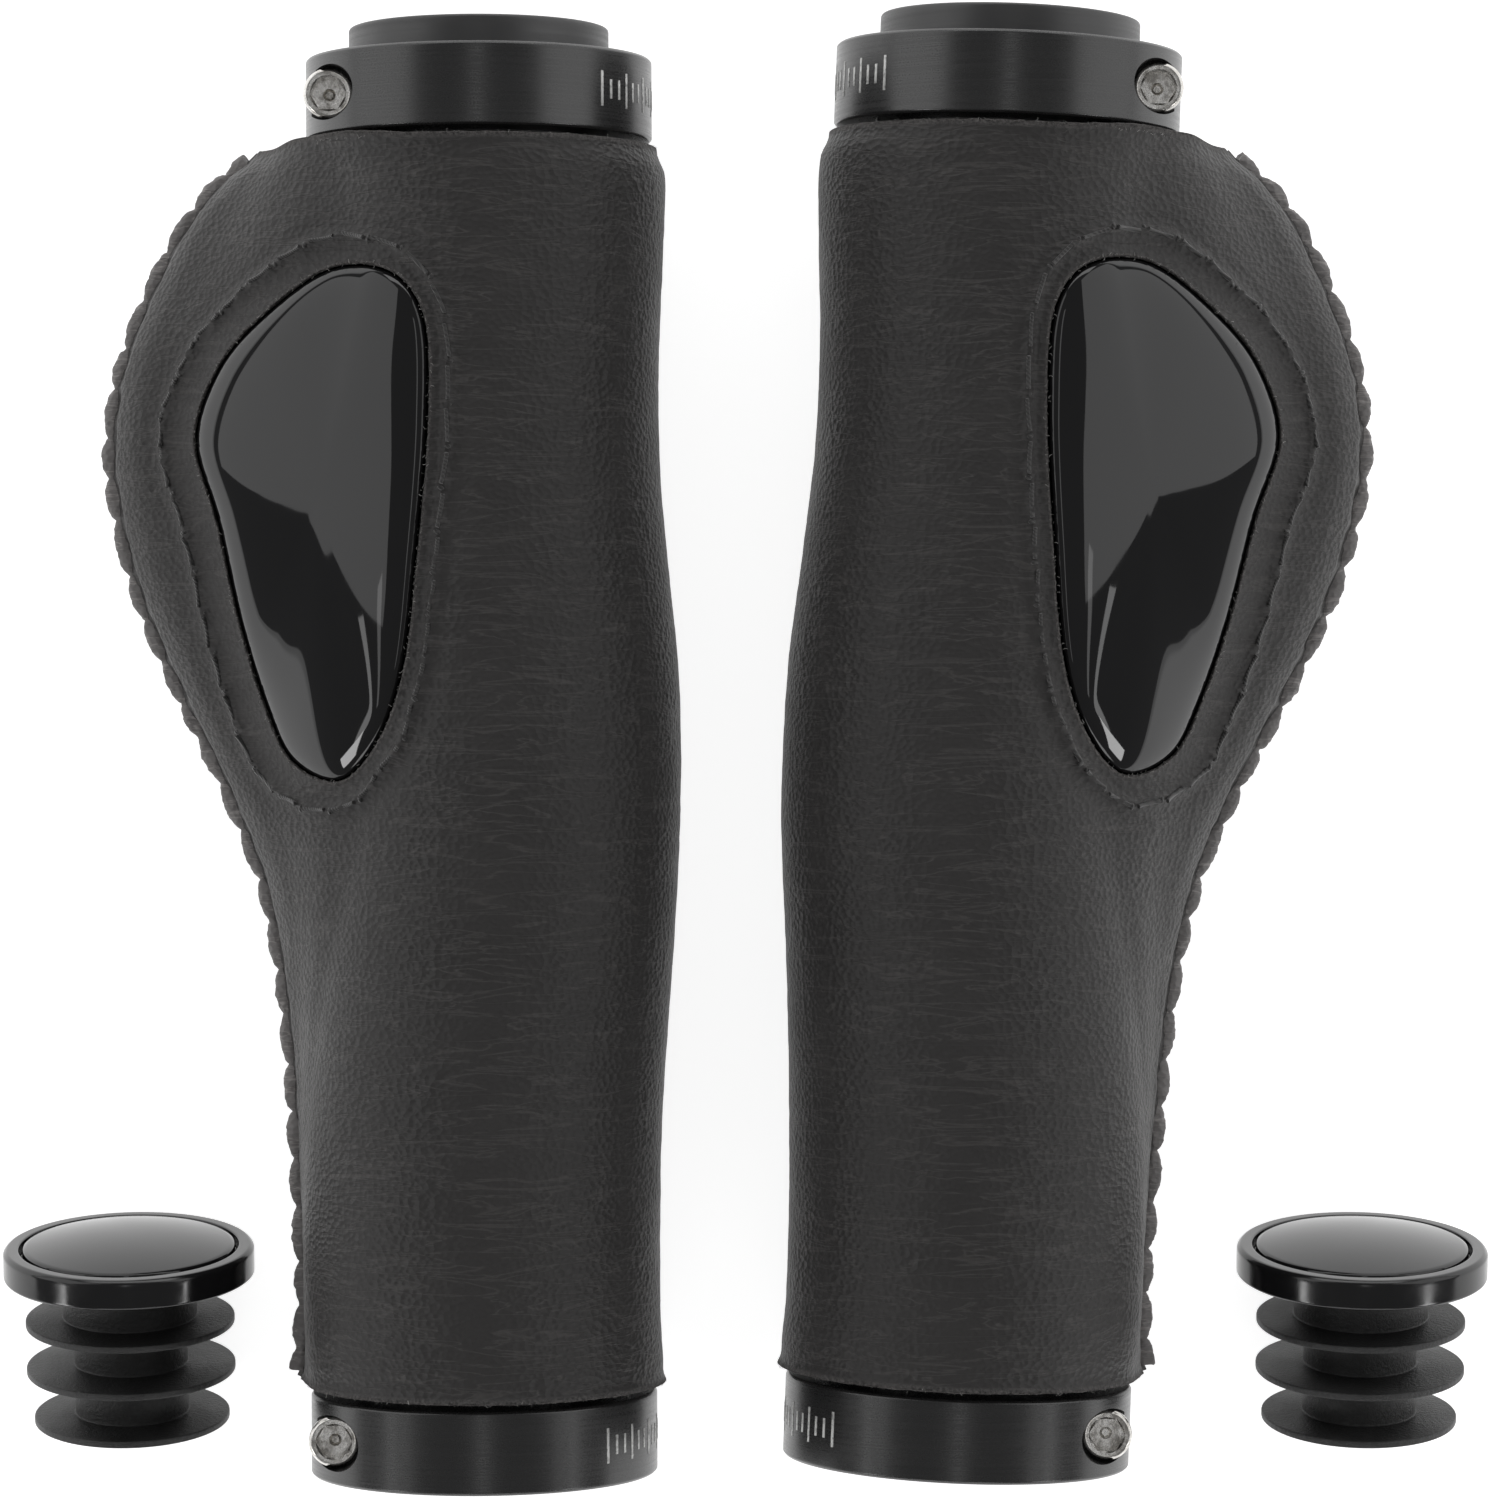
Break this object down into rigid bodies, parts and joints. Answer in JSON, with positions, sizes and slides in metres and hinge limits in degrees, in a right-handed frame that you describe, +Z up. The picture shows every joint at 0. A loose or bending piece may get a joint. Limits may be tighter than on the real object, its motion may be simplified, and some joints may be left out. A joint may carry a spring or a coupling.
{
  "type": "handlebar grip set",
  "caption": "Pair of leather-wrapped ergonomic handlebar grips with palm wings, clamp rings and finned bar end plugs, laid out flat.",
  "frame": {"origin": "on the surface that the set lies on, below the middle of the set's bounding box", "axes": "+Z up from that surface; +Y towards the grips' outboard ends, within 0.25 degrees of the left grip's bar axis; +X from the left grip towards the right one"},
  "size_m": [0.143, 0.1393, 0.0341],
  "materials": {
    "core": "satin moulded",
    "palm_foam": "matte moulded",
    "leather": "fine pebble grain, semi-matte",
    "seam_leather": "puckered, raw-cut edge",
    "thread": "waxed thread",
    "insert": "high gloss",
    "ring": "black anodised, satin gloss",
    "screw": "bright",
    "plug_rubber": "matte moulded",
    "plug_cap": "gloss",
    "plug_disc": "smooth satin gloss"
  },
  "bodies": {
    "left_grip": {"left_core_tube": "core", "left_palm_body": "palm_foam", "left_leather_sleeve": "leather", "left_palm_insert": "insert", "left_edge_seam": "seam_leather", "left_window_stitching": "thread"},
    "right_grip": {"right_core_tube": "core", "right_palm_body": "palm_foam", "right_leather_sleeve": "leather", "right_palm_insert": "insert", "right_edge_seam": "seam_leather", "right_window_stitching": "thread"},
    "left_outer_ring": {"left_outer_ring": "ring"},
    "left_outer_screw": {"left_outer_screw": "screw"},
    "left_inner_ring": {"left_inner_ring": "ring"},
    "left_inner_screw": {"left_inner_screw": "screw"},
    "left_plug": {"left_plug_body": "plug_rubber", "left_plug_cap": "plug_cap", "left_plug_disc": "plug_disc"},
    "right_outer_ring": {"right_outer_ring": "ring"},
    "right_outer_screw": {"right_outer_screw": "screw"},
    "right_inner_ring": {"right_inner_ring": "ring"},
    "right_inner_screw": {"right_inner_screw": "screw"},
    "right_plug": {"right_plug_body": "plug_rubber", "right_plug_cap": "plug_cap", "right_plug_disc": "plug_disc"}
  },
  "joints": [
    {"name": "right_grip_lift", "type": "slide", "parent": "left_grip", "child": "right_grip", "axis": [0, 0, 1], "range_m": [0, 0.04]},
    {"name": "left_outer_ring_slide", "type": "slide", "parent": "left_grip", "child": "left_outer_ring", "axis": [-0.0044, 1, 0], "range_m": [0, 0.014]},
    {"name": "left_outer_screw_turn", "type": "hinge", "parent": "left_outer_ring", "child": "left_outer_screw", "pos_m": [-0.03927, 0.06114, 0.017], "axis": [0, 0, 1], "range_deg": [0, 1080]},
    {"name": "left_inner_ring_slide", "type": "slide", "parent": "left_grip", "child": "left_inner_ring", "axis": [0.0044, -1, 0], "range_m": [0, 0.012]},
    {"name": "left_inner_screw_turn", "type": "hinge", "parent": "left_inner_ring", "child": "left_inner_screw", "pos_m": [-0.03872, -0.06576, 0.017], "axis": [0, 0, 1], "range_deg": [0, 1080]},
    {"name": "left_plug_lift", "type": "slide", "parent": "left_grip", "child": "left_plug", "axis": [0, 0, 1], "range_m": [0, 0.04]},
    {"name": "right_outer_ring_slide", "type": "slide", "parent": "right_grip", "child": "right_outer_ring", "axis": [0.0384, 0.9993, 0], "range_m": [0, 0.014]},
    {"name": "right_outer_screw_turn", "type": "hinge", "parent": "right_outer_ring", "child": "right_outer_screw", "pos_m": [0.03887, 0.06169, 0.017], "axis": [0, 0, 1], "range_deg": [0, 1080]},
    {"name": "right_inner_ring_slide", "type": "slide", "parent": "right_grip", "child": "right_inner_ring", "axis": [-0.0384, -0.9993, 0], "range_m": [0, 0.012]},
    {"name": "right_inner_screw_turn", "type": "hinge", "parent": "right_inner_ring", "child": "right_inner_screw", "pos_m": [0.034, -0.06511, 0.017], "axis": [0, 0, 1], "range_deg": [0, 1080]},
    {"name": "right_plug_lift", "type": "slide", "parent": "left_grip", "child": "right_plug", "axis": [0, 0, 1], "range_m": [0, 0.04]}
  ]
}
